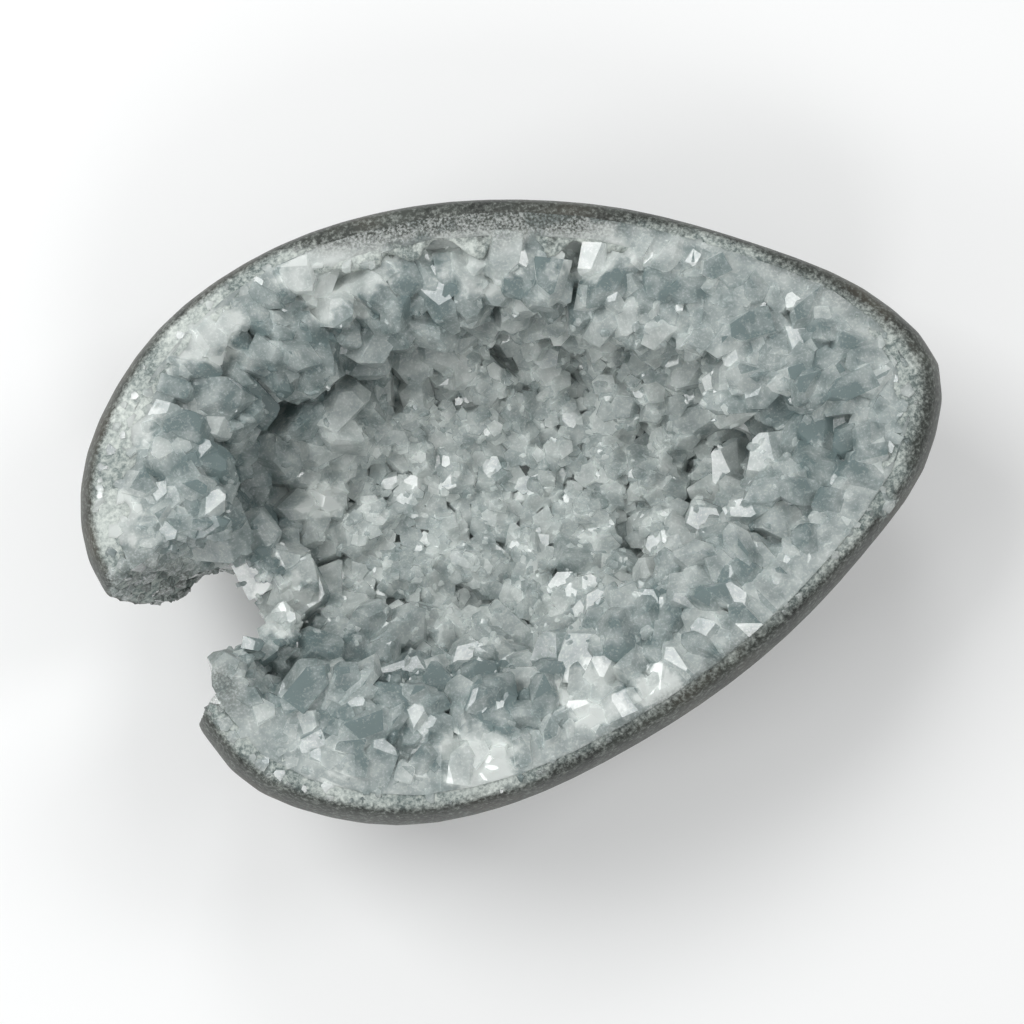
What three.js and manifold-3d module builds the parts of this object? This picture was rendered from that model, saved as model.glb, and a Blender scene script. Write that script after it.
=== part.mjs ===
// Celestite geode, ground and polished to a heart: a dark rock rind with a ragged break at the cleft,
// and a crust of blue-grey celestite crystals that lines the hollow.
// Millimetres, +Z up. The hollow opens upwards and the tip of the heart points along +X.
// The origin is on the resting face, under the middle of the heart's box.
import * as THREE from "three";
import { ConvexGeometry } from "three/addons/geometries/ConvexGeometry.js";
import { LoftGeometry } from "three/addons/geometries/LoftGeometry.js";
import { ImprovedNoise } from "three/addons/math/ImprovedNoise.js";
import { mergeVertices } from "three/addons/utils/BufferGeometryUtils.js";
import Module from "manifold-3d";

// The heart's outline at its widest level, from the tip round the far lobe to the cleft and back.
const HEART_OUTLINE = [
  [70, -3], [63.7, 11], [46, 26.3], [23.4, 39.9], [-1, 47.5], [-27.5, 48.2], [-49.7, 40.5], [-65, 25.8], [-70, 11],
  [-68, -1], [-62, -20], [-56.3, -33.4], [-39, -45.3], [-17.7, -48.8], [7.9, -45.3], [31.5, -37.4], [49, -28],
  [63, -17],
];
const MEAN_RADIUS = 55;
const OUTSIDE_STEPS = 64;
const WALL_STEPS = 40;
const LINING_STEPS = 24;

// Profiles are lists of [share of the heart's outline, height]. The outside runs from the edge of the resting
// face up the polished side to the rim, and the dish is what the rim and the crystals were ground back to.
const OUTSIDE_PROFILE = [
  [0.42, 0], [0.6, 2.2], [0.76, 8], [0.885, 16], [0.965, 24.5], [1, 32], [0.99, 38.5], [0.96, 43.4], [0.92, 45.6],
];
const OUTSIDE_RINGS = 15;
const DISH_PROFILE = [[0.86, 45.6], [0.74, 44.4], [0.1, 44.6]];
const SWELL = 0.7;
const SWELL_LENGTH = 38;

// The rind's inner wall, and the gap that parts it from the crust.
const WALL_PROFILE = [[0.35, 9], [0.6, 11.5], [0.76, 17], [0.85, 26], [0.89, 36], [0.91, 48]];
const WALL_RINGS = 5;
const WALL_GAP = 0.35;

// The lining that the crystals grow from. It stands steep behind the far lobe and slopes on the near side.
const FLOOR_HEIGHT = 15;
const FLOOR_SWELL = 3;
const FLOOR_REACHES = [0.1, 0.55];
const STEEP_LINING = [[0.6, 15], [0.7, 19], [0.76, 27], [0.8, 36], [0.85, 48]];
const SLOPING_LINING = [[0.42, 15], [0.56, 19], [0.67, 26], [0.76, 35], [0.85, 48]];
const STEEP_SIDE = new THREE.Vector2(-0.5, 0.87);
const STEEP_FROM = -0.5;
const STEEP_TO = 0.6;
const LINING_RINGS = 4;

// The break at the cleft, seen from above. It goes right through, its far face leans back towards the rim,
// and its faces wander.
const BREAK_OUTLINE = [
  [-92, 4], [-67, 0], [-63, -0.2], [-60, 0.8], [-56.5, 3.6], [-52, 4], [-48, 2], [-45, -2.6], [-43.8, -7.4],
  [-46.4, -11], [-51, -12.6], [-55, -14.3], [-56.6, -18], [-60.4, -20.6], [-92, -27],
];
const BREAK_MIDDLE = new THREE.Vector2(-58, -8);
const BREAK_LEVELS = [-4, 8, 16, 24, 32, 40, 52];
const BREAK_LEAN = 5;
const LEAN_FROM = 16;
const LEAN_TO = 44;
const BREAK_WANDER = 1.2;
const WANDER_LENGTH = 7;
const CRUST_OVERHANG = 0.6;

// Crystals: how often a seat is tried, the spacing, and sizes. Ranges are [least, most] shares of the width,
// except the shoulder, which is a share of the height.
const SEAT_TRIES = 2600;
const SEAT_SEED = 11;
const SPACING = 0.97;
const HIGHEST_REACH = 1.85;
const DRUSE_WIDTH = 7;
const DRUSE_LOWNESS = 0.7;
const WALL_CRYSTAL_WIDTH = 10.5;
const DRUSE_REACH = 0.55;
const WALL_REACH = 1.1;
const SIZE_RANGE = [0.75, 1.3];
const HEIGHT_RANGE = [0.75, 1.25];
const HALF_ACROSS_RANGE = [0.38, 0.5];
const HALF_ALONG_RANGE = [0.5, 0.66];
const SHOULDER_RANGE = [0.35, 0.6];
const HALF_RIDGE_RANGE = [0.03, 0.36];
const RIDGE_SHIFT_RANGE = [-0.14, 0.14];
const LEAN_RANGE = [-0.42, 0.42];
const ROOT_DEPTH = 1.6;

const RIND_COLOUR = 0x5d625f;
const CRYSTAL_COLOUR = 0x93a0a2;

const wasm = await Module();
wasm.setup();

const noise = new ImprovedNoise();
const { lerp, smoothstep, seededRandom } = THREE.MathUtils;
const pick = ([least, most]) => lerp(least, most, seededRandom());

// A closed three.js geometry as a solid, and a solid as a three.js geometry.
function solidOf(geometry) {
  const bare = new THREE.BufferGeometry().setAttribute("position", geometry.attributes.position);
  const merged = mergeVertices(bare.setIndex(geometry.index), 1e-4);
  return new wasm.Manifold(
    new wasm.Mesh({
      numProp: 3,
      vertProperties: merged.attributes.position.array,
      triVerts: new Uint32Array(merged.index.array),
    }),
  );
}

function geometryOf(solid) {
  const mesh = solid.getMesh();
  const geometry = new THREE.BufferGeometry();
  geometry.setAttribute("position", new THREE.BufferAttribute(mesh.vertProperties, 3));
  geometry.setIndex(new THREE.BufferAttribute(mesh.triVerts, 1));
  return geometry;
}

const loft = (rings) => solidOf(new LoftGeometry(rings, { capStart: true, capEnd: true }));

const outlineCurve = new THREE.CatmullRomCurve3(
  HEART_OUTLINE.map(([x, y]) => new THREE.Vector3(x, y, 0)),
  true,
);
const outsideOutline = outlineCurve.getSpacedPoints(OUTSIDE_STEPS).slice(1);
const wallOutline = outlineCurve.getSpacedPoints(WALL_STEPS).slice(1);
const liningOutline = outlineCurve.getSpacedPoints(LINING_STEPS).slice(1);

// A profile as a number of [share, height] pairs along a smooth curve.
function smoothed(profile, rings) {
  const curve = new THREE.SplineCurve(profile.map(([share, height]) => new THREE.Vector2(share, height)));
  return curve.getPoints(rings).map((p) => [p.x, p.y]);
}

// The outline drawn in to a share of its size, at a height.
const ringAt = (outline, share, height) => outline.map((p) => new THREE.Vector3(p.x * share, p.y * share, height));

// The hand-polished outside, never quite true to its curve above the resting face.
function bodySolid(outline) {
  const profile = [...smoothed(OUTSIDE_PROFILE, OUTSIDE_RINGS), ...DISH_PROFILE];
  const rings = profile.map(([share, height]) => ringAt(outline, share, height));
  for (const point of rings.slice(1).flat()) {
    const wave = noise.noise(point.x / SWELL_LENGTH, point.y / SWELL_LENGTH, point.z / SWELL_LENGTH);
    const out = new THREE.Vector2(point.x, point.y).setLength(SWELL * wave);
    point.x += out.x;
    point.y += out.y;
  }
  return loft(rings);
}

// The space inside the rind's inner wall, drawn in by a gap.
const wallProfile = smoothed(WALL_PROFILE, WALL_RINGS);
const wallSolid = (gap) =>
  loft(wallProfile.map(([share, height]) => ringAt(wallOutline, share - gap / MEAN_RADIUS, height + gap)));

const steepLining = smoothed(STEEP_LINING, LINING_RINGS);
const slopingLining = smoothed(SLOPING_LINING, LINING_RINGS);

// A point of the lining's wall: level 0 is the edge of the floor, and level 1 is above the rim.
function liningWallPoint(outlinePoint, level) {
  const facing = new THREE.Vector2(outlinePoint.x, outlinePoint.y).normalize().dot(STEEP_SIDE);
  const steep = smoothstep(facing, STEEP_FROM, STEEP_TO);
  const place = level * LINING_RINGS;
  const low = Math.min(Math.floor(place), LINING_RINGS - 1);
  const along = (profile, i) => lerp(profile[low][i], profile[low + 1][i], place - low);
  const share = lerp(along(slopingLining, 0), along(steepLining, 0), steep);
  const height = lerp(along(slopingLining, 1), along(steepLining, 1), steep);
  return new THREE.Vector3(outlinePoint.x * share, outlinePoint.y * share, height);
}

// A point of the lining: reach 0 is the middle of the floor, 1 its edge, and 2 above the rim.
// The floor swells in a ring half way out to the walls.
function liningPoint(outlinePoint, reach) {
  const point = liningWallPoint(outlinePoint, Math.max(0, reach - 1));
  if (reach < 1) {
    point.set(point.x * reach, point.y * reach, FLOOR_HEIGHT + FLOOR_SWELL * 4 * reach * (1 - reach));
  }
  return point;
}

// The open space inside the lining.
function hollowSolid() {
  const reaches = [...FLOOR_REACHES];
  for (let i = 0; i <= LINING_RINGS; i++) reaches.push(1 + i / LINING_RINGS);
  return loft(reaches.map((reach) => liningOutline.map((p) => liningPoint(p, reach))));
}

// The space of the break, drawn in by a margin on every side.
function breakSolid(margin) {
  const wander = (x, y, z) => BREAK_WANDER * noise.noise(x / WANDER_LENGTH, y / WANDER_LENGTH, z / WANDER_LENGTH);
  const rings = BREAK_LEVELS.map((level) =>
    BREAK_OUTLINE.map(([x, y]) => {
      const point = new THREE.Vector2(x + wander(x, y, level), y + wander(y, level, x));
      const lean = y > BREAK_MIDDLE.y ? BREAK_LEAN * smoothstep(level, LEAN_FROM, LEAN_TO) : 0;
      const outward = point.clone().sub(BREAK_MIDDLE).setLength(lean - margin);
      return new THREE.Vector3(point.x + outward.x, point.y + outward.y, level);
    }).reverse(),
  );
  return loft(rings);
}

// One celestite crystal, standing on its root along +Z: a four-sided prism, roofed to a chisel edge.
function crystalGeometry(width, height) {
  const across = width * pick(HALF_ACROSS_RANGE);
  const along = width * pick(HALF_ALONG_RANGE);
  const shoulder = height * pick(SHOULDER_RANGE);
  const ridge = width * pick(HALF_RIDGE_RANGE);
  const shift = width * pick(RIDGE_SHIFT_RANGE);
  const points = [new THREE.Vector3(shift + ridge, 0, height), new THREE.Vector3(shift - ridge, 0, height)];
  for (const [x, y] of [[along, across], [-along, across], [-along, -across], [along, -across]]) {
    points.push(new THREE.Vector3(x, y, -ROOT_DEPTH), new THREE.Vector3(x, y, shoulder));
  }
  return new ConvexGeometry(points);
}

// A place on the lining, and the direction into the hollow there.
function seatAt(outlinePoint, reach) {
  const seat = liningPoint(outlinePoint, reach);
  if (reach < 1) return { seat, inward: new THREE.Vector3(0, 0, 1) };
  const above = liningPoint(outlinePoint, reach + 0.02).sub(seat);
  const side = new THREE.Vector3(outlinePoint.y, -outlinePoint.x, 0);
  return { seat, inward: side.cross(above).normalize() };
}

// Sets a crystal on its seat, leaning a little off the lining's own direction.
function placed(geometry, { seat, inward }) {
  const lean = new THREE.Vector3(pick(LEAN_RANGE), pick(LEAN_RANGE), pick(LEAN_RANGE));
  const up = new THREE.Vector3(0, 0, 1);
  const turn = new THREE.Quaternion().setFromUnitVectors(up, inward.clone().add(lean).normalize());
  turn.multiply(new THREE.Quaternion().setFromAxisAngle(up, Math.PI * seededRandom()));
  return solidOf(geometry.applyMatrix4(new THREE.Matrix4().compose(seat, turn, new THREE.Vector3(1, 1, 1))));
}

// Low, narrow crystals in the middle of the floor, and larger ones up the walls.
function crystalSolids() {
  seededRandom(SEAT_SEED);
  const taken = [];
  const solids = [];
  for (let i = 0; i < SEAT_TRIES; i++) {
    const reach = HIGHEST_REACH * Math.sqrt(seededRandom());
    const place = seatAt(outlineCurve.getPointAt(seededRandom()), reach);
    const wall = smoothstep(reach, DRUSE_REACH, WALL_REACH);
    const width = lerp(DRUSE_WIDTH, WALL_CRYSTAL_WIDTH, wall) * pick(SIZE_RANGE);
    const room = (t) => t.seat.distanceTo(place.seat) - (SPACING * (t.width + width)) / 2;
    if (taken.some((t) => room(t) < 0)) continue;
    taken.push({ seat: place.seat, width });
    const height = width * pick(HEIGHT_RANGE) * lerp(DRUSE_LOWNESS, 1, wall);
    solids.push(placed(crystalGeometry(width, height), place));
  }
  return solids;
}

// The largest piece of a solid, without the voids that its crystals closed off and the chips that a cut left.
function mainPiece(solid) {
  return solid.decompose().reduce((a, b) => (a.volume() > b.volume() ? a : b));
}

const rindSolid = mainPiece(bodySolid(outsideOutline).subtract(wallSolid(0)).subtract(breakSolid(0)));
const liningSolid = wallSolid(WALL_GAP).subtract(hollowSolid());
const crustSolid = mainPiece(
  wasm.Manifold.union([liningSolid, ...crystalSolids()])
    .intersect(wallSolid(WALL_GAP))
    .intersect(bodySolid(wallOutline))
    .subtract(breakSolid(CRUST_OVERHANG)),
);

function named(name, solid, colour, roughness) {
  const material = new THREE.MeshStandardMaterial({ color: colour, roughness, metalness: 0, flatShading: true });
  const mesh = new THREE.Mesh(geometryOf(solid), material);
  mesh.name = name;
  return mesh;
}

const geode = new THREE.Group();
geode.add(named("rock_rind", rindSolid, RIND_COLOUR, 0.35));
geode.add(named("crystal_crust", crustSolid, CRYSTAL_COLOUR, 0.12));

const middle = new THREE.Box3().setFromObject(geode).getCenter(new THREE.Vector3());
for (const mesh of geode.children) mesh.geometry.translate(-middle.x, -middle.y, 0);

export default geode;
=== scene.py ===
# A celestite geode, ground and polished to a heart, that lies on its back with its hollow upwards.
# Lengths are in metres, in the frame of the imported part.
import math
import random

import bmesh
import bpy
from mathutils import Matrix, Vector, noise
from mathutils.bvhtree import BVHTree


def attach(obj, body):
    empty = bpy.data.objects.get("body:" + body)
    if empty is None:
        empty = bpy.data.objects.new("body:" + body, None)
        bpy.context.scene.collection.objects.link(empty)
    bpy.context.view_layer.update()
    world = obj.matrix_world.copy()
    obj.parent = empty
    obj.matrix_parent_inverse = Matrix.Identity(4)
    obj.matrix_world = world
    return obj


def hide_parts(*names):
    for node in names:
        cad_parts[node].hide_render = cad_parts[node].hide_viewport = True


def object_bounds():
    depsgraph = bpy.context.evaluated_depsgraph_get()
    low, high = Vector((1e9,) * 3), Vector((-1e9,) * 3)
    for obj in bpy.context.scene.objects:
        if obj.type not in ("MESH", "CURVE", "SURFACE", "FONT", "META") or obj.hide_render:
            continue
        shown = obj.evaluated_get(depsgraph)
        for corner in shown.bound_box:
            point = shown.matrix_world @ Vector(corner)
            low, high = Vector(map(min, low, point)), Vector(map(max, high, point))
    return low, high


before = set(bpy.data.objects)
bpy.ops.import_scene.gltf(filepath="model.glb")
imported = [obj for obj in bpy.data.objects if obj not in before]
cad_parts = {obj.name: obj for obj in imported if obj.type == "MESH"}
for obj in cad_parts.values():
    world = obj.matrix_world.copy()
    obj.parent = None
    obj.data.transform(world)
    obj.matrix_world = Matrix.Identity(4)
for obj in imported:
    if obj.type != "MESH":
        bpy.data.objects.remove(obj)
cad_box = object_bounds()

# Rock rind: the wall of the geode, ground to a heart and polished by hand, and broken through at the cleft.
# It is dark, mottled rock outside. On the rim and in the break the pale massive celestite inside it shows.
MM = 0.001
RIND_GRAIN = 0.8 * MM
RIND_SMOOTHING = 6
RIM_HEIGHT = cad_box[1][2]
RIM_START = 44 * MM
RIM_ROOM = 0.3
LIP_START = 40 * MM
LIP_REACH = 2.6 * MM
FAR_REACH = 2.4 * MM
LIP_RISE = 0.3 * MM
LIP_WAVE = 4 * MM
SKIN_WIDTH = 0.9 * MM
SKIN_SOFTNESS = 1.8 * MM
BREAK_MIDDLE = Vector((-58 * MM, -8 * MM))
BREAK_REACH = 24 * MM
BREAK_ROUGHNESS = 0.6 * MM
BREAK_LUMP = 2.6 * MM
# Where the dark skin reaches further over the rim: the side's direction, how narrow it is, and the extra width.
FAR_SIDE = Vector((0.12, 0.99))
SKIN_SIDES = [
    (FAR_SIDE, 0.8, 3.6 * MM),
    (Vector((0.99, 0.05)), 0.9, 1.6 * MM),
    (Vector((0.5, -0.87)), 0.85, 0.5 * MM),
]
# Where the massive celestite is white, as x, y and reach in mm.
WHITE_PATCHES = [(-18, 42, 12), (5, 38, 11), (22, 31, 8), (-41, 38, 8), (-56, 27, 6), (-63, 13, 6)]
WHITE_PATCHES += [(0, -36, 7), (-20, -41, 8), (10, -39, 5), (-43, -7, 7), (-32, 8, 4), (-43, -38, 4)]


# Goes softly from 0 at the low value to 1 at the high one.
def smoothstep(low, high, value):
    share = min(max((value - low) / (high - low), 0), 1)
    return share * share * (3 - 2 * share)


# How far the rim reaches in over the crust. It is widest at the far side.
def lip_reach(point):
    far = smoothstep(0.7, 0.92, point.xy.normalized().dot(FAR_SIDE))
    return LIP_REACH + far * FAR_REACH


# How white the celestite is, from 1 in the middle of a white patch to 0 outside it.
def whiteness(point):
    far = min(math.hypot(point.x / MM - x, point.y / MM - y) / reach for x, y, reach in WHITE_PATCHES)
    return 1 - smoothstep(0.45, 1.1, far)


# A CAD node's mesh is loose triangles, so its copy is merged. Its rim is lowered, to leave room for grains.
def merged_copy(node_name, piece_name):
    bm = bmesh.new()
    bm.from_mesh(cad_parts[node_name].data)
    bmesh.ops.remove_doubles(bm, verts=bm.verts, dist=0.001 * MM)
    for vert in bm.verts:
        if vert.co.z > RIM_START:
            vert.co.z = RIM_START + (vert.co.z - RIM_START) * RIM_ROOM
    mesh = bpy.data.meshes.new(piece_name)
    bm.to_mesh(mesh)
    bm.free()
    piece = bpy.data.objects.new(piece_name, mesh)
    bpy.context.scene.collection.objects.link(piece)
    return piece


# Makes a piece's modifiers part of its mesh.
def apply_modifiers(piece):
    bpy.context.view_layer.update()
    graph = bpy.context.evaluated_depsgraph_get()
    mesh = bpy.data.meshes.new_from_object(piece.evaluated_get(graph))
    piece.modifiers.clear()
    piece.data = mesh


# The polished outside, without the break, to look up the nearest place on.
rind_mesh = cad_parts["rock_rind"].data
outside_faces = []
for face in rind_mesh.polygons:
    to_break = BREAK_MIDDLE - face.center.xy
    in_break = to_break.length < BREAK_REACH and face.normal.xy.dot(to_break.normalized()) > 0.3
    if face.normal.xy.dot(face.center.xy.normalized()) > 0.8 and not in_break:
        outside_faces.append(face.vertices)
outside = BVHTree.FromPolygons([v.co for v in rind_mesh.vertices], outside_faces)


# How far a place is in the dark skin, from 1 at the polished outside to 0 further in.
def skin_share(point):
    width = SKIN_WIDTH
    side = point.xy.normalized()
    width += max(smoothstep(narrow, 0.5 + narrow / 2, side.dot(way)) * more for way, narrow, more in SKIN_SIDES)
    soft = min(width, SKIN_SOFTNESS)
    return 1 - smoothstep(width - soft, width + soft, outside.find_nearest(point)[3])


rind = merged_copy("rock_rind", "polished_rind")
remesh = rind.modifiers.new("even grain", "REMESH")
remesh.mode = "VOXEL"
remesh.voxel_size = RIND_GRAIN
apply_modifiers(rind)

bm = bmesh.new()
bm.from_mesh(rind.data)
for _ in range(RIND_SMOOTHING):
    bmesh.ops.smooth_vert(bm, verts=bm.verts, factor=0.5, use_axis_x=True, use_axis_y=True, use_axis_z=True)
bm.normal_update()
broken = bm.verts.layers.float.new("broken")
pale = bm.verts.layers.float.new("pale")
white = bm.verts.layers.float.new("white")
for vert in bm.verts:
    outward = vert.co.xy.normalized()
    to_break = BREAK_MIDDLE - vert.co.xy
    facing = vert.normal.xy.dot(to_break.normalized())
    near = 1 - smoothstep(0.85 * BREAK_REACH, BREAK_REACH, to_break.length)
    vert[broken] = near * smoothstep(0.3, 0.7, facing)
    # The rim reaches inwards over the crust with an uneven edge, and ends at the break.
    inner_side = 1 - smoothstep(-0.2, 0.7, vert.normal.xy.dot(outward))
    lean = inner_side * smoothstep(LIP_START, RIM_START, vert.co.z)
    lean *= smoothstep(0.6, 1, to_break.length / BREAK_REACH)
    reach = lean * lip_reach(vert.co) * (1 + 0.8 * noise.noise(vert.co / LIP_WAVE))
    vert.co += Vector((-outward.x * reach, -outward.y * reach, lean * LIP_RISE))
    vert[pale] = max((1 - skin_share(vert.co)) * smoothstep(-0.1, 0.2, vert.normal.z), 0.8 * vert[broken])
    vert[white] = 0.5 * whiteness(vert.co)
bm.normal_update()
for vert in bm.verts:
    if vert[broken] > 0:
        lump = noise.noise(vert.co / BREAK_LUMP) - 0.3
        vert.co += vert.normal * lump * BREAK_ROUGHNESS * vert[broken]
for face in bm.faces:
    face.smooth = True
bm.to_mesh(rind.data)
bm.free()


# An sRGB hex colour as linear light.
def linear(hex_colour):
    parts = [int(hex_colour[i : i + 2], 16) / 255 for i in (1, 3, 5)]
    return (*[p / 12.92 if p <= 0.04045 else ((p + 0.055) / 1.055) ** 2.4 for p in parts], 1)


# Adds a node, sets its properties, and sets or links its inputs.
def add(tree, kind, inputs, **settings):
    made = tree.nodes.new("ShaderNode" + kind)
    for name, value in settings.items():
        setattr(made, name, value)
    for socket, value in inputs.items():
        if isinstance(value, bpy.types.NodeSocket):
            tree.links.new(value, made.inputs[socket])
        else:
            made.inputs[socket].default_value = value
    return made


def new_material(name):
    material = bpy.data.materials.new(name)
    material.use_nodes = True
    material.node_tree.nodes.clear()
    return material, material.node_tree


# Polished marl with massive celestite: the rock is satin, clouded at 6 mm, stained brown in places and flecked.
# The celestite is a mosaic of 3 mm grains, milky and clearer, white in patches, and the skin fades into it.
# The real flecks are finer than 0.2 mm, and are drawn at 0.7 mm so that they show.
rind_material, tree = new_material("polished marl and massive celestite")
place = add(tree, "TexCoord", {}).outputs["Object"]
pale_share = add(tree, "Attribute", {}, attribute_name="pale").outputs["Fac"]
white_share = add(tree, "Attribute", {}, attribute_name="white").outputs["Fac"]
cloud_noise = {"Vector": place, "Scale": 1 / (6 * MM), "Detail": 5, "Roughness": 0.6}
clouds = add(tree, "TexNoise", cloud_noise).outputs[0]
fleck_noise = {"Vector": place, "Scale": 1 / (0.7 * MM), "Detail": 3, "Roughness": 0.7}
flecks = add(tree, "TexNoise", fleck_noise).outputs[0]
stains = add(tree, "TexNoise", {"Vector": place, "Scale": 1 / (17 * MM), "Detail": 3}).outputs[0]
wave = add(tree, "TexNoise", {"Vector": place, "Scale": 1 / (2 * MM), "Detail": 2}).outputs["Color"]
bent = add(tree, "VectorMath", {0: wave, 1: (1.2 * MM,) * 3, 2: place}, operation="MULTIPLY_ADD").outputs[0]
grains = add(tree, "TexVoronoi", {"Vector": bent, "Scale": 1 / (3 * MM)}).outputs["Color"]
grain = add(tree, "SeparateColor", {0: grains}).outputs[0]

cloudiness = add(tree, "MapRange", {0: clouds, 1: 0.32, 2: 0.68}).outputs[0]
dark_rock, light_rock = linear("#1f2220"), linear("#404540")
rock = add(tree, "Mix", {0: cloudiness, 6: dark_rock, 7: light_rock}, data_type="RGBA").outputs[2]
stain = add(tree, "MapRange", {0: stains, 1: 0.52, 2: 0.7, 4: 0.55}).outputs[0]
rock = add(tree, "Mix", {0: stain, 6: rock, 7: linear("#524d42")}, data_type="RGBA").outputs[2]
fleck = add(tree, "MapRange", {0: flecks, 1: 0.42, 2: 0.72, 4: 0.45}).outputs[0]
rock = add(tree, "Mix", {0: fleck, 6: rock, 7: linear("#8b918b")}, data_type="RGBA").outputs[2]

mosaic = add(tree, "Math", {0: grain, 1: 0.55, 2: white_share}, operation="MULTIPLY_ADD").outputs[0]
mosaic = add(tree, "Math", {0: clouds, 1: mosaic}, operation="ADD").outputs[0]
mosaic = add(tree, "Math", {0: flecks, 1: 1.3, 2: mosaic}, operation="MULTIPLY_ADD").outputs[0]
milkiness = add(tree, "MapRange", {0: mosaic, 1: 1.1, 2: 2.6}).outputs[0]
clearer, milkier = linear("#6b7876"), linear("#d0d7d2")
celestite = add(tree, "Mix", {0: milkiness, 6: clearer, 7: milkier}, data_type="RGBA").outputs[2]
celestite = add(tree, "Mix", {0: fleck, 6: celestite, 7: linear("#e2e7df")}, data_type="RGBA").outputs[2]

ragged = add(tree, "Math", {0: clouds, 1: 0.4, 2: -0.8}, operation="MULTIPLY_ADD").outputs[0]
ragged = add(tree, "Math", {0: flecks, 1: 1.2, 2: ragged}, operation="MULTIPLY_ADD").outputs[0]
border = add(tree, "Math", {0: pale_share, 1: ragged}, operation="ADD").outputs[0]
inner = add(tree, "MapRange", {0: border, 1: 0.05, 2: 0.95}).outputs[0]
colour = add(tree, "Mix", {0: inner, 6: rock, 7: celestite}, data_type="RGBA").outputs[2]

satin = add(tree, "MapRange", {0: flecks, 3: 0.42, 4: 0.58}).outputs[0]
roughness = add(tree, "Mix", {0: inner, 2: satin, 3: 0.65}).outputs[0]
pits = add(tree, "TexVoronoi", {"Vector": place, "Scale": 1 / (1.6 * MM)}).outputs["Distance"]
pit = add(tree, "MapRange", {0: pits, 1: 0.0, 2: 0.22}).outputs[0]
relief = add(tree, "Mix", {0: inner, 2: pit, 3: grain}).outputs[0]
bump = add(tree, "Bump", {"Strength": 0.3, "Distance": 0.25 * MM, "Height": relief}).outputs[0]
polish = {"Roughness": roughness, "Normal": bump, "IOR": 1.55, "Specular IOR Level": 0.3}
shader = add(tree, "BsdfPrincipled", {"Base Color": colour, **polish})
add(tree, "OutputMaterial", {"Surface": shader.outputs[0]})
rind.data.materials.clear()
rind.data.materials.append(rind_material)
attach(rind, "root")
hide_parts("rock_rind")

# Crystal crust: celestite crystals that grew inwards from the rind, grown together in one crust.
# The part has its large crystals. Finer ones fill the gaps between them, low broken grains cover the floor,
# and the rim is ground flush.
DRUSE_SEED = 7
SEAT_TRIES = 60000
FINE_TRIES = 5000
RIM_GRAINS = 3500
RIM_GRAIN_ROOM = 1.4 * MM
FLOOR_REACH = Vector((62 * MM, 42 * MM))
FLOOR_STEP = 3 * MM
FLOOR_LIFT = 2 * MM
HOLLOW_FOCUS = Vector((0, -2 * MM, 58 * MM))
BACK_GAP = 0.9 * MM
BACK_PUSH = 0.7 * MM
CRUST_TONE = 0.45
CROWDING = 0.34
CELL = 12 * MM
# The least and greatest width of each kind of crystal and grain, in mm.
WALL_CRYSTAL = (1.8, 7.5)
FLOOR_CRYSTAL = (1, 2.3)
BREAK_CRYSTAL = (1.2, 2.2)
FINE_CRYSTAL = (0.6, 1.3)
STUMP = (1.2, 4.2)
# The crystals that stand out: place and width in mm, axis, and how milky. Each sits on what grew below it.
LARGE_CRYSTALS = [
    ((-28, -25), 10, (0.15, 0.4, 1), 0),
    ((6.5, -29), 9, (-0.1, 0.4, 1), 0.2),
    ((7, -15.5), 9, (-0.25, 0.1, 1), 0),
    ((-34, -30), 8, (0.5, 0.5, 0.8), 0.5),
    ((-41, 26), 8, (0.9, -0.3, 0.3), 0.4),
    ((-43, 20), 6.5, (0.95, -0.1, 0.5), 0.3),
    ((-35, 32), 7, (0.7, -0.6, 0.4), 0.6),
    ((45, -14), 9, (-0.35, 0.3, 1), 0.2),
    ((-33, 8), 8, (0.2, 0, 1), 0.4),
]

# The back of the crust is pushed a little into the rind, so that the two hold together.
random.seed(DRUSE_SEED)
crust = merged_copy("crystal_crust", "celestite_crust")
rind_wall = BVHTree.FromPolygons([v.co for v in rind_mesh.vertices], [p.vertices for p in rind_mesh.polygons])
for vert in crust.data.vertices:
    _, wall_normal, _, gap = rind_wall.find_nearest(vert.co)
    if gap < BACK_GAP:
        vert.co -= wall_normal * BACK_PUSH
tones = crust.data.attributes.new("tone", "FLOAT", "FACE")
tones.data.foreach_set("value", [CRUST_TONE] * len(crust.data.polygons))


# A block of unit width with its root down -Z, and planes cut off it. Each plane is a direction and a distance.
def cut_block(length, depth, planes):
    bm = bmesh.new()
    bmesh.ops.create_cube(bm, size=1)
    bmesh.ops.scale(bm, vec=(length, depth, 2.2), verts=bm.verts)
    bmesh.ops.translate(bm, vec=(0, 0, 0.5), verts=bm.verts)
    for direction, distance in planes:
        normal = Vector(direction).normalized()
        cut = bmesh.ops.bisect_plane(
            bm,
            geom=bm.verts[:] + bm.edges[:] + bm.faces[:],
            plane_co=normal * distance * random.uniform(0.9, 1.1),
            plane_no=normal,
            clear_outer=True,
        )
        edges = [e for e in cut["geom_cut"] if isinstance(e, bmesh.types.BMEdge)]
        if edges:
            bmesh.ops.contextual_create(bm, geom=edges)
    bmesh.ops.recalc_face_normals(bm, faces=bm.faces)
    bm.faces.layers.float.new("tone")
    mesh = bpy.data.meshes.new("crystal")
    bm.to_mesh(mesh)
    bm.free()
    return mesh


# A crystal with a chisel edge, cut corners and a small top face.
def pointed_crystal():
    roof, end = random.uniform(0.65, 1.1), random.uniform(0.5, 1.2)
    planes = [((0, 1, roof), 0.7), ((0, -1, roof), 0.7), ((1, 0, end), 0.8), ((-1, 0, end), 0.85)]
    planes += [((1, 0.9, 0.35), 0.6), ((-1, -0.9, 0.35), 0.62), ((0.3, 0.15, 1), random.uniform(0.75, 1.1))]
    return cut_block(random.uniform(1, 1.5), random.uniform(0.75, 1), planes)


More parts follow.
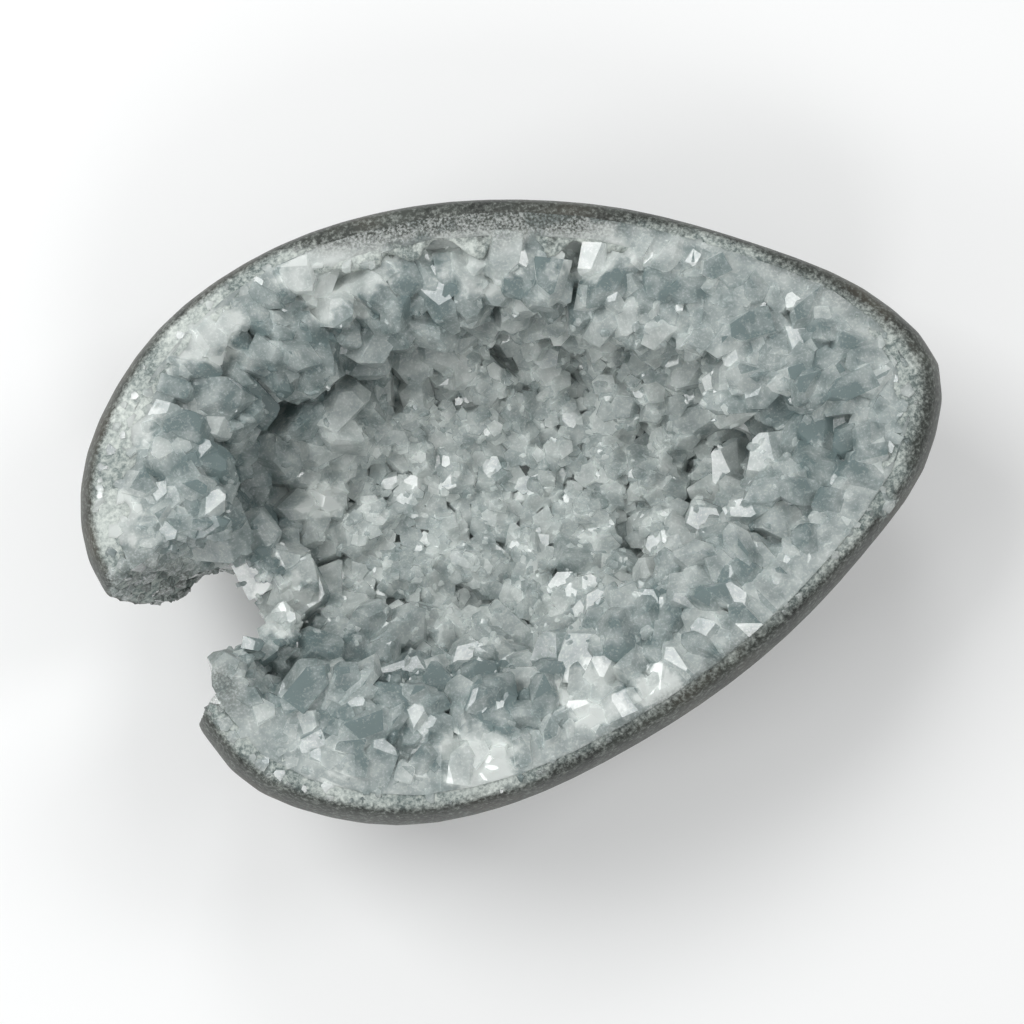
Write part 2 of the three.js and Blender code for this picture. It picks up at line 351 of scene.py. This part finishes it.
# A grain that was ground or broken off: an uneven five-sided stump with a tilted top.
def stump():
    planes = [((random.gauss(0, 0.14), random.gauss(0, 0.14), 1), 0.5)]
    for side in range(5):
        angle = math.tau * (side + random.uniform(-0.3, 0.3)) / 5
        direction = (math.cos(angle), math.sin(angle), random.uniform(0, 0.3))
        planes.append((direction, random.uniform(0.42, 0.6)))
    return cut_block(1.4, 1.2, planes)


pointed = [pointed_crystal() for _ in range(12)]
stumps = [stump() for _ in range(12)]


# A random push to each side, for an axis that isn't quite true.
def scatter(amount):
    return Vector((random.gauss(0, amount), random.gauss(0, amount), random.gauss(0, amount)))


# How far out a place lies: 0 in the middle of the floor, 1 at the rim.
def reach_at(point):
    return math.hypot(point.x / FLOOR_REACH.x, point.y / FLOOR_REACH.y)


# Ground and broken grains cover the pale rim and the break, and keep clear of the dark skin.
pale_values, broken_values = rind.data.attributes["pale"].data, rind.data.attributes["broken"].data
skin_faces = [p.vertices for p in rind.data.polygons if pale_values[p.vertices[0]].value < 0.4]
skin = BVHTree.FromPolygons([v.co for v in rind.data.vertices], skin_faces)
pale_faces = []
for face in rind.data.polygons:
    is_broken = broken_values[face.vertices[0]].value > 0.6
    if is_broken or (pale_values[face.vertices[0]].value > 0.6 and face.normal.z > 0.5):
        room = min(skin.find_nearest(face.center)[3], RIM_GRAIN_ROOM)
        pale_faces.append((face.center.copy(), face.normal.copy(), room, 0.8 if is_broken else 0))
stump_seats = random.choices(pale_faces, k=RIM_GRAINS)

# The floor's height on a grid of places.
crust_faces = [p.vertices for p in crust.data.polygons]
crust_surface = BVHTree.FromPolygons([v.co for v in crust.data.vertices], crust_faces)
heights = {}
for x in range(-22, 23):
    for y in range(-16, 17):
        hit = crust_surface.ray_cast(Vector((x * FLOOR_STEP, y * FLOOR_STEP, 0.1)), Vector((0, 0, -1)))[0]
        if hit:
            heights[x, y] = hit.z


# The floor's height, evened out over a few steps of the grid. Massive druse fills what lies lower.
def floor_height(point):
    x, y = round(point.x / FLOOR_STEP), round(point.y / FLOOR_STEP)
    near = [heights[x + i, y + j] for i in range(-3, 4) for j in range(-3, 4) if (x + i, y + j) in heights]
    return sum(near) / len(near)


# Places spread evenly over the crust, each with its face's normal.
def random_spots(count):
    crust.data.calc_loop_triangles()
    triangles = [[crust.data.vertices[i].co for i in t.vertices] for t in crust.data.loop_triangles]
    areas = [((b - a).cross(c - a)).length for a, b, c in triangles]
    spots = []
    for a, b, c in random.choices(triangles, weights=areas, k=count):
        u, v = sorted((random.random(), random.random()))
        spots.append((a * u + b * (v - u) + c * (1 - v), (b - a).cross(c - a).normalized()))
    return spots


# Each seat is a place, an axis, a width, the shapes to choose from, and how milky the crystal is.
seats = []
for seat, normal in random_spots(SEAT_TRIES):
    inward = (HOLLOW_FOCUS - seat).normalized()
    gap = rind_wall.find_nearest(seat)[3]
    if normal.dot(inward) < 0.05 or gap < 0.6 * MM:
        continue
    # The rim is ground: only stumps sit on it, clear of the rind's lip.
    if normal.z > 0.8 and seat.z > RIM_START - 0.5 * MM:
        if gap > lip_reach(seat) + 0.5 * MM:
            stump_seats.append((seat, normal, gap - lip_reach(seat) + 1 * MM, 0.4))
        continue
    if seat.z > LIP_START and gap < lip_reach(seat):
        continue
    # Most of the floor is low broken grains, raised where the floor has a dip.
    floor = 1 - smoothstep(0.45, 0.7, reach_at(seat))
    rim = smoothstep(34 * MM, 44 * MM, seat.z)
    low = 1 - smoothstep(17 * MM, 23 * MM, seat.z)
    if random.random() < 0.9 * floor:
        lift = min(max(floor_height(seat) - seat.z, 0), FLOOR_LIFT)
        normal = (normal + Vector((0, 0, 1))).normalized()
        seat.z += lift
        room = random.uniform(0.8, 2.2) * MM + 0.8 * lift
        stump_seats.append((seat, normal, room, random.uniform(0.1, 0.5)))
        continue
    # Crystals are larger on the walls than on the floor, and small at the break.
    if random.random() < floor:
        width = random.uniform(*FLOOR_CRYSTAL) + 2 * low * random.random()
    else:
        width = random.uniform(WALL_CRYSTAL[0], WALL_CRYSTAL[1] - 2.6 * rim)
    if (seat.xy - BREAK_MIDDLE).length < 18 * MM:
        width = min(width, random.uniform(*BREAK_CRYSTAL))
    width = min(width, 0.8 * gap / MM + 0.8) * MM
    axis = inward + normal * 0.5 + Vector((0, 0, 0.8 * floor))
    axis += scatter(0.3)
    axis.normalize()
    seat -= axis * (0.25 + 0.25 * floor * (1 - low) + 0.1 * rim) * width
    over = seat.z + axis.z * width - RIM_HEIGHT + 0.6 * MM
    if over > 0:
        seat.z -= over
    seats.append((seat, axis, width, pointed, random.random()))
for seat, normal, room, rough in stump_seats:
    width = min(random.uniform(*STUMP) * MM, random.uniform(0.9, 1.6) * room)
    if width < 0.6 * MM or max(abs(seat.x) - cad_box[1][0], abs(seat.y) - cad_box[1][1]) > -width:
        continue
    axis = (normal + scatter(0.05 + 0.2 * rough)).normalized()
    proud = random.uniform(0.03, 0.15 + 0.5 * rough) * MM
    seats.append((seat + axis * (proud - 0.5 * width), axis, width, stumps, random.random()))
seats.sort(key=lambda s: -s[2] * random.uniform(0.7, 1))
for (x, y), width, axis, tone in LARGE_CRYSTALS:
    ground = crust_surface.ray_cast(Vector((x, y, 100)) * MM, Vector((0, 0, -1)))[0]
    axis = Vector(axis).normalized()
    seats.insert(0, (ground - axis * 0.35 * width * MM, axis, width * MM, pointed, tone))


# Joins a loose mesh to the crust, or cuts the crust to it.
def combine(operation, bm):
    mesh = bpy.data.meshes.new("loose")
    bm.to_mesh(mesh)
    bm.free()
    loose = bpy.data.objects.new("loose", mesh)
    bpy.context.scene.collection.objects.link(loose)
    join = crust.modifiers.new("join", "BOOLEAN")
    join.operation = operation
    join.solver = "MANIFOLD"
    join.object = loose
    apply_modifiers(crust)
    bpy.data.objects.remove(loose)


# Grows crystals at the seats that have room, in batches in which none meets another.
def grow(seats):
    grid = {}
    batches = []
    for seat, axis, width, shapes, tone in seats:
        middle = seat + axis * 0.15 * width
        cell = [math.floor(c / CELL) for c in middle]
        steps = [(x, y, z) for x in (-1, 0, 1) for y in (-1, 0, 1) for z in (-1, 0, 1)]
        near = [o for x, y, z in steps for o in grid.get((cell[0] + x, cell[1] + y, cell[2] + z), ())]
        if any((o[0] - middle).length < CROWDING * (o[1] + width) for o in near):
            continue
        used = {o[2] for o in near if (o[0] - middle).length < 0.9 * (o[1] + width)}
        batch = next(i for i in range(len(batches) + 1) if i not in used)
        if batch == len(batches):
            batches.append(bmesh.new())
        grid.setdefault(tuple(cell), []).append((middle, width, batch))
        turn = axis.to_track_quat("Z", "Y").to_matrix().to_4x4()
        spin = Matrix.Rotation(random.uniform(0, math.pi), 4, "Z")
        height = width * (1 if shapes is stumps else random.uniform(0.8, 1.2))
        copy = random.choice(shapes).copy()
        copy.transform(Matrix.Translation(seat) @ turn @ spin @ Matrix.Diagonal((width, width, height, 1)))
        copy.attributes["tone"].data.foreach_set("value", [tone] * len(copy.polygons))
        batches[batch].from_mesh(copy)
        bpy.data.meshes.remove(copy)
    for bm in batches:
        combine("UNION", bm)


grow(seats)

# A fine second growth sits on the crystals below the rim.
seats = []
for seat, normal in random_spots(FINE_TRIES):
    inward = (HOLLOW_FOCUS - seat).normalized()
    if normal.dot(inward) < 0.1 or rind_wall.find_nearest(seat)[3] < 2 * MM or seat.z > RIM_START - 1 * MM:
        continue
    axis = normal + inward + scatter(0.3)
    axis.normalize()
    width = random.uniform(*FINE_CRYSTAL) * MM
    seats.append((seat - axis * 0.55 * width, axis, width, pointed, random.random()))
grow(seats)

# Everything is ground off a little below the top of the part.
bm = bmesh.new()
bmesh.ops.create_cube(bm, size=1)
bmesh.ops.scale(bm, vec=(0.3, 0.3, 2 * RIM_HEIGHT - 0.2 * MM), verts=bm.verts)
combine("INTERSECT", bm)

# The back and the ground rim are massive celestite like the rind's, and the rest is crystal.
bm = bmesh.new()
bm.from_mesh(crust.data)
pale = bm.verts.layers.float.new("pale")
white = bm.verts.layers.float.new("white")
milky = bm.verts.layers.float.new("milky")
stain = bm.verts.layers.float.new("stain")
gaps = {}
for vert in bm.verts:
    wall_point, wall_normal, _, gap = rind_wall.find_nearest(vert.co)
    behind = (vert.co - wall_point).dot(wall_normal) < 0
    gaps[vert] = 0 if behind else gap
    floor = 1 - smoothstep(0.5, 0.75, reach_at(vert.co))
    dark = skin_share(vert.co) * smoothstep(37 * MM, 42 * MM, vert.co.z)
    vert[pale] = 1 - dark
    vert[white] = whiteness(vert.co)
    rootward = 1 - smoothstep(2 * MM, 9 * MM, gap)
    vert[milky] = 0.36 * floor + 0.25 * rootward
    to_break = (vert.co.xy - BREAK_MIDDLE).length / BREAK_REACH
    near_break = (1 - smoothstep(0.4, 0.75, to_break)) * (1 - smoothstep(2 * MM, 6 * MM, gap))
    vert[stain] = max(dark, 0.75 * near_break)
for face in bm.faces:
    face.smooth = False
    back = max(gaps[v] for v in face.verts) < BACK_GAP
    middle = face.calc_center_median()
    rim_width = 6 * MM + 2.5 * (lip_reach(middle) - LIP_REACH)
    on_rim = middle.z > RIM_START - 0.3 * MM and rind_wall.find_nearest(middle)[3] < rim_width
    flush = on_rim and face.normal.z > 0.85
    face.material_index = 1 if back or flush else 0
bm.to_mesh(crust.data)
bm.free()

# Celestite: clear blue-grey crystal with a glassy shine, milky with veils towards its root and in the druse.
# The rock stains it dark at the rim and in the break. Its bright specks are partly inclusions finer than 0.1
# mm, drawn at 0.45 mm so that they show, and partly painted tiny glints that stand in for sparkle.
crystal_material, tree = new_material("clear celestite")
place = add(tree, "TexCoord", {}).outputs["Object"]
milky_share = add(tree, "Attribute", {}, attribute_name="milky").outputs["Fac"]
white_share = add(tree, "Attribute", {}, attribute_name="white").outputs["Fac"]
stain_share = add(tree, "Attribute", {}, attribute_name="stain").outputs["Fac"]
tone = add(tree, "Attribute", {}, attribute_name="tone").outputs["Fac"]
veils = add(tree, "TexNoise", {"Vector": place, "Scale": 1 / (3.2 * MM), "Detail": 2}).outputs[0]
speck_and_glint_noise = {"Vector": place, "Scale": 1 / (0.45 * MM), "Detail": 2, "Roughness": 0.7}
specks_and_glints = add(tree, "TexNoise", speck_and_glint_noise).outputs[0]
veil = add(tree, "MapRange", {0: veils, 1: 0.3, 2: 0.7, 3: -0.25, 4: 0.25}).outputs[0]
milk = add(tree, "Math", {0: milky_share, 1: veil}, operation="ADD").outputs[0]
milk = add(tree, "Math", {0: tone, 1: 0.45, 2: milk}, operation="MULTIPLY_ADD").outputs[0]
chalk = add(tree, "Math", {0: veils, 1: 1.4, 2: white_share}, operation="MULTIPLY_ADD").outputs[0]
chalk = add(tree, "MapRange", {0: chalk, 1: 1.1, 2: 1.4, 4: 0.5}).outputs[0]
milk = add(tree, "Math", {0: milk, 1: chalk}, operation="ADD").outputs[0]
# Sparse bright specks: partly real inclusions, partly painted highlight, tiny glints painted into the colour.
speck_and_glint = add(tree, "MapRange", {0: specks_and_glints, 1: 0.5, 2: 0.75, 3: -0.04, 4: 0.26}).outputs[0]
milk = add(tree, "Math", {0: milk, 1: speck_and_glint}, operation="ADD", use_clamp=True).outputs[0]
clear, milk_white = linear("#748484"), linear("#e0e6e3")
colour = add(tree, "Mix", {0: milk, 6: clear, 7: milk_white}, data_type="RGBA").outputs[2]
patchy = add(tree, "MapRange", {0: specks_and_glints, 1: 0.35, 2: 0.65, 3: 1.2, 4: 0.4}).outputs[0]
patchy = add(tree, "Math", {0: stain_share, 1: patchy}, operation="MULTIPLY").outputs[0]
colour = add(tree, "Mix", {0: patchy, 6: colour, 7: linear("#4f544f")}, data_type="RGBA").outputs[2]
glassy = {"Roughness": 0.1, "IOR": 1.62, "Transmission Weight": 0.22}
cloudy = {"Subsurface Weight": 1.0, "Subsurface Radius": (1, 1, 1), "Subsurface Scale": 2.2 * MM}
look = {"Base Color": colour, **glassy, **cloudy}
shader = add(tree, "BsdfPrincipled", look, subsurface_method="BURLEY")
absorption = add(tree, "VolumeAbsorption", {"Color": linear("#b9c9cb"), "Density": 40})
add(tree, "OutputMaterial", {"Surface": shader.outputs[0], "Volume": absorption.outputs[0]})
crust.data.materials.clear()
crust.data.materials.append(crystal_material)
crust.data.materials.append(rind_material)
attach(crust, "root")
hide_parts("crystal_crust")

# Table and light: a plain, pale, matt table that the geode lies on.
# The light is a white studio with a large soft light overhead and four soft lamps around it, which faces catch.
TABLE_HALF = 3
STUDIO_LIGHT = 0.45
LIGHTS = [
    ("overhead", (-0.45, 0.5, 0.8), 0.5, 4.5),
    ("lamp_left", (-0.7, -0.1, 0.6), 0.26, 1.2),
    ("lamp_far", (0.2, 0.7, 0.7), 0.26, 1.2),
    ("lamp_right", (0.65, 0.1, 0.7), 0.26, 1.2),
    ("lamp_near", (-0.1, -0.7, 0.7), 0.26, 1.2),
]
bm = bmesh.new()
bmesh.ops.create_grid(bm, x_segments=1, y_segments=1, size=TABLE_HALF)
mesh = bpy.data.meshes.new("table")
bm.to_mesh(mesh)
bm.free()
table = bpy.data.objects.new("table", mesh)
bpy.context.scene.collection.objects.link(table)
material, tree = new_material("pale matt table")
shader = add(tree, "BsdfDiffuse", {"Color": linear("#f4f5f5")})
add(tree, "OutputMaterial", {"Surface": shader.outputs[0]})
mesh.materials.append(material)

for name, spot, size, power in LIGHTS:
    lamp = bpy.data.lights.new(name, "AREA")
    lamp.size = size
    lamp.energy = power
    holder = bpy.data.objects.new(name, lamp)
    holder.location = spot
    holder.rotation_euler = Vector(spot).to_track_quat("Z", "Y").to_euler()
    bpy.context.scene.collection.objects.link(holder)

world = bpy.data.worlds.new("studio")
world.use_nodes = True
world.node_tree.nodes["Background"].inputs["Color"].default_value = linear("#ffffff")
world.node_tree.nodes["Background"].inputs["Strength"].default_value = STUDIO_LIGHT
bpy.context.scene.world = world
bpy.context.scene.view_settings.view_transform = "Standard"

# Camera: almost straight above, as in the photograph.
# It is turned so that the tip of the heart points right and a little up.
AIM = Vector((-2.9 * MM, -4.2 * MM, 32 * MM))
DISTANCE = 392 * MM
TURN = math.radians(-18)
HEIGHT_ANGLE = math.radians(84)
LENS = 85
SENSOR = 36
level = math.cos(HEIGHT_ANGLE)
back = Vector((math.sin(TURN) * level, -math.cos(TURN) * level, math.sin(HEIGHT_ANGLE)))
right = Vector((math.cos(TURN), math.sin(TURN), 0))
facing = Matrix((right, back.cross(right), back)).transposed().to_4x4()
lens = bpy.data.cameras.new("camera")
lens.lens = LENS
lens.sensor_width = SENSOR
camera = bpy.data.objects.new("camera", lens)
camera.matrix_world = Matrix.Translation(AIM + back * DISTANCE) @ facing
bpy.context.scene.collection.objects.link(camera)
bpy.context.scene.camera = camera
